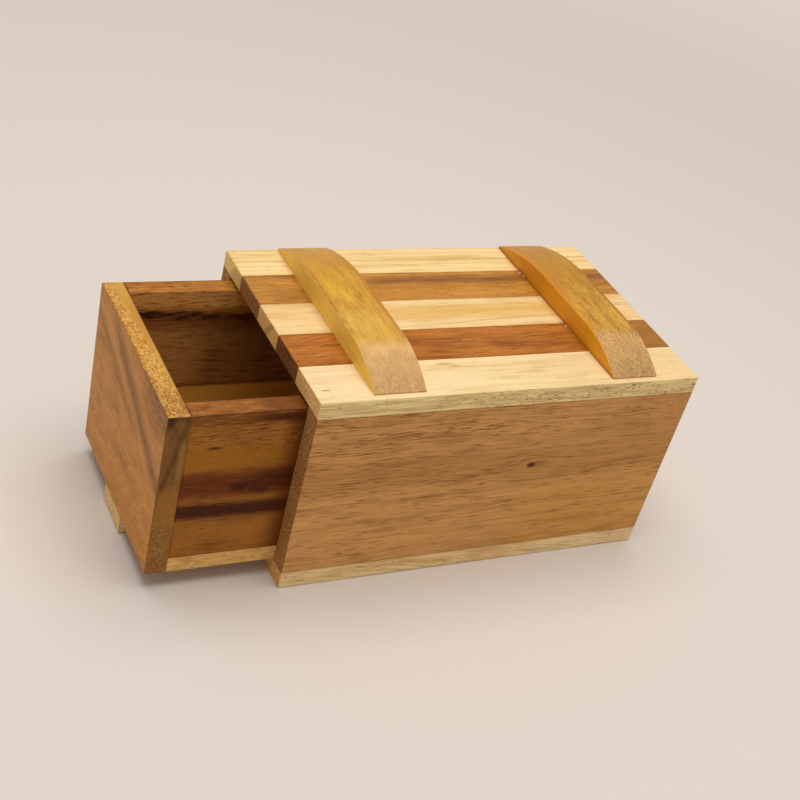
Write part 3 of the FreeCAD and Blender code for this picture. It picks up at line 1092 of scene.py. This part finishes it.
class DRAWERBOX_OT_straps(bpy.types.Operator):
    """Add the two arched straps"""

    bl_idname = "drawerbox.straps"
    bl_label = "Straps"

    def execute(self, context):
        stand_for("strap_left", arched_strap("strap_left"), golden_strap_timber())
        stand_for("strap_right", arched_strap("strap_right"), amber_strap_timber())
        return {"FINISHED"}


class DRAWERBOX_OT_glue(bpy.types.Operator):
    """Add the beads of dried glue at the right strap's foot"""

    bl_idname = "drawerbox.glue"
    bl_label = "Glue beads"

    def execute(self, context):
        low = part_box("strap_right")[0]
        squeezed = (0.8, 1.3, 0.6)
        shape = bmesh.new()
        for inset, back in ((0.3, 80.1), (0.0, 77.3), (0.1, 38.5)):
            bead = bmesh.ops.create_icosphere(shape, subdivisions=2, radius=sizes().glue_bead / 2)
            bmesh.ops.scale(shape, vec=squeezed, verts=bead["verts"])
            centre = Vector((low.x - inset * MILLIMETRE, low.y + back * MILLIMETRE, low.z))
            bmesh.ops.translate(shape, vec=centre, verts=bead["verts"])
        piece = add_piece("glue_beads", shape, glue_finish(), frame["nodes"]["strap_right"]["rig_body"])
        return {"FINISHED"}


class DRAWERBOX_OT_case(bpy.types.Operator):
    """Add the case's sides and the two base boards, and give its end panel its wood"""

    bl_idname = "drawerbox.case"
    bl_label = "Case"

    def execute(self, context):
        stand_board("case_side_front", ("front left", "front right"), front_side_timber())
        back_wood = plain_side_timber("Honey wood of the back side", "case_side_back", LEFTWARDS, 59.0)
        stand_board("case_side_back", ("back left", "back right"), back_wood)
        end_wood = plain_side_timber("Honey wood of the end panel", "case_end_panel", BACKWARDS, 61.0)
        dress("case_end_panel", end_wood)
        for side, seed in (("front", 103.0), ("back", 107.0)):
            node = "base_board_" + side
            softened = ["left bottom", "right bottom", side + " bottom", side + " left", side + " right"]
            wood = base_timber("Pale wood of the base's " + side, node, seed)
            stand_board(node, softened, wood)
        return {"FINISHED"}


class DRAWERBOX_OT_drawer(bpy.types.Operator):
    """Add the drawer: its face, back, two sides and floor"""

    bl_idname = "drawerbox.drawer"
    bl_label = "Drawer"

    def execute(self, context):
        around_top = ["left top", "right top", "front top", "back top"]
        around_face = around_top + ["front left", "back left", "left bottom"]
        long_tops = ("front top", "back top")
        stand_board("drawer_face", around_face, drawer_face_timber())
        back_wood = rich_timber("Rich wood of the drawer's back", "drawer_back", 97.0, FORWARDS)
        stand_board("drawer_back", around_top, finish_rich(back_wood, colours().rich))
        stand_board("drawer_side_front", long_tops, drawer_front_side_timber())
        stand_board("drawer_side_back", long_tops, drawer_back_side_timber())
        floor_wood = base_timber(
            "Pale wood of the drawer's floor", "drawer_floor", 109.0, (0.94, 0.76, 0.5), across=FORWARDS
        )
        stand_board("drawer_floor", (), floor_wood)
        return {"FINISHED"}


class DRAWERBOX_OT_runner(bpy.types.Operator):
    """Add the runner, the slat under the drawer"""

    bl_idname = "drawerbox.runner"
    bl_label = "Runner"

    def execute(self, context):
        softened = ("left bottom", "right bottom", "front bottom", "back bottom")
        wood = base_timber("Pale wood of the runner", "drawer_runner", 113.0, end_cast=(0.97, 1.08, 1.32))
        stand_board("drawer_runner", softened, wood)
        return {"FINISHED"}


class DRAWERBOX_OT_stage(bpy.types.Operator):
    """Add the floor, the lamp overhead, the soft light from all round and the camera"""

    bl_idname = "drawerbox.stage"
    bl_label = "Stage"

    def execute(self, context):
        stage = context.scene.drawer_box_stage
        self.add_floor(stage)
        self.add_lamp(stage)
        self.add_sky(stage)
        self.add_camera(stage)
        context.scene.view_settings.view_transform = "Standard"
        return {"FINISHED"}

    def add_floor(self, stage):
        shape = bmesh.new()
        bmesh.ops.create_grid(shape, x_segments=1, y_segments=1, size=stage.floor_size / 2)
        look = Look(bpy.data.materials.new("Stage floor"))
        tint = (*stage.floor, 1)
        near = look.value(
            "ShaderNodeBsdfPrincipled", {}, {"Base Color": tint, "Roughness": 0.8, "Specular IOR Level": 0.1}
        )
        far = look.value("ShaderNodeEmission", {}, {"Color": tint, "Strength": 1.0})
        here = look.value("ShaderNodeTexCoord", output="Object")
        away = look.vector("LENGTH", (here,), "Value").rise(*stage.floor_fade)
        chosen = look.value("ShaderNodeMixShader", {}, {0: away * seen_directly(look), 1: near, 2: far})
        look.node("ShaderNodeOutputMaterial", {}, {"Surface": chosen})
        new_object("stage_floor", new_mesh("stage_floor", shape, look.owner))

    def add_lamp(self, stage):
        lamp = bpy.data.lights.new("Lamp overhead", "AREA")
        lamp.energy = stage.lamp_power
        lamp.shape = "SQUARE"
        lamp.size = stage.lamp_width
        hung = new_object("Lamp overhead", lamp)
        hung.location = stage.lamp_place
        hung.rotation_euler = (-Vector(stage.lamp_place)).to_track_quat("-Z", "Y").to_euler()

    def add_sky(self, stage):
        world = bpy.data.worlds.new("Soft light")
        bpy.context.scene.world = world
        look = Look(world)
        light = look.value("ShaderNodeBackground", {}, {"Color": (1, 1, 1, 1), "Strength": stage.sky})
        backdrop = look.value("ShaderNodeBackground", {}, {"Color": (*stage.floor, 1), "Strength": 1.0})
        chosen = look.value("ShaderNodeMixShader", {}, {0: seen_directly(look), 1: light, 2: backdrop})
        look.node("ShaderNodeOutputWorld", {}, {"Surface": chosen})

    def add_camera(self, stage):
        data = bpy.data.cameras.new("Camera")
        data.lens = stage.camera_lens
        data.shift_x, data.shift_y = stage.camera_shift
        camera = new_object("Camera", data)
        camera.location = stage.camera_place
        camera.rotation_euler = stage.camera_turn
        bpy.context.scene.camera = camera


PIECES = (
    DRAWERBOX_OT_lid,
    DRAWERBOX_OT_straps,
    DRAWERBOX_OT_glue,
    DRAWERBOX_OT_case,
    DRAWERBOX_OT_drawer,
    DRAWERBOX_OT_runner,
    DRAWERBOX_OT_stage,
)
GROUPS = {
    "drawer_box_sizes": DrawerBoxSizes,
    "drawer_box_colours": DrawerBoxColours,
    "drawer_box_stage": DrawerBoxStage,
}


class DRAWERBOX_PT_pieces(bpy.types.Panel):
    """Lists the box's pieces, its sizes and its colours"""

    bl_idname = "DRAWERBOX_PT_pieces"
    bl_label = "Drawer box"
    bl_space_type = "VIEW_3D"
    bl_region_type = "UI"
    bl_category = "Drawer box"

    def draw(self, context):
        for piece in PIECES:
            self.layout.operator(piece.bl_idname)
        for group, kind in GROUPS.items():
            for name in kind.__annotations__:
                self.layout.prop(getattr(context.scene, group), name)


def register():
    for kind in (*GROUPS.values(), *PIECES, DRAWERBOX_PT_pieces):
        bpy.utils.register_class(kind)
    for name, kind in GROUPS.items():
        setattr(bpy.types.Scene, name, PointerProperty(type=kind))


def unregister():
    for name in GROUPS:
        delattr(bpy.types.Scene, name)
    for kind in (DRAWERBOX_PT_pieces, *reversed(PIECES), *reversed(GROUPS.values())):
        bpy.utils.unregister_class(kind)


def main():
    register()
    bpy.ops.drawerbox.lid()
    bpy.ops.drawerbox.straps()
    bpy.ops.drawerbox.glue()
    bpy.ops.drawerbox.case()
    bpy.ops.drawerbox.drawer()
    bpy.ops.drawerbox.runner()
    bpy.ops.drawerbox.stage()
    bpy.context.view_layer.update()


if __name__ == "__main__":
    main()
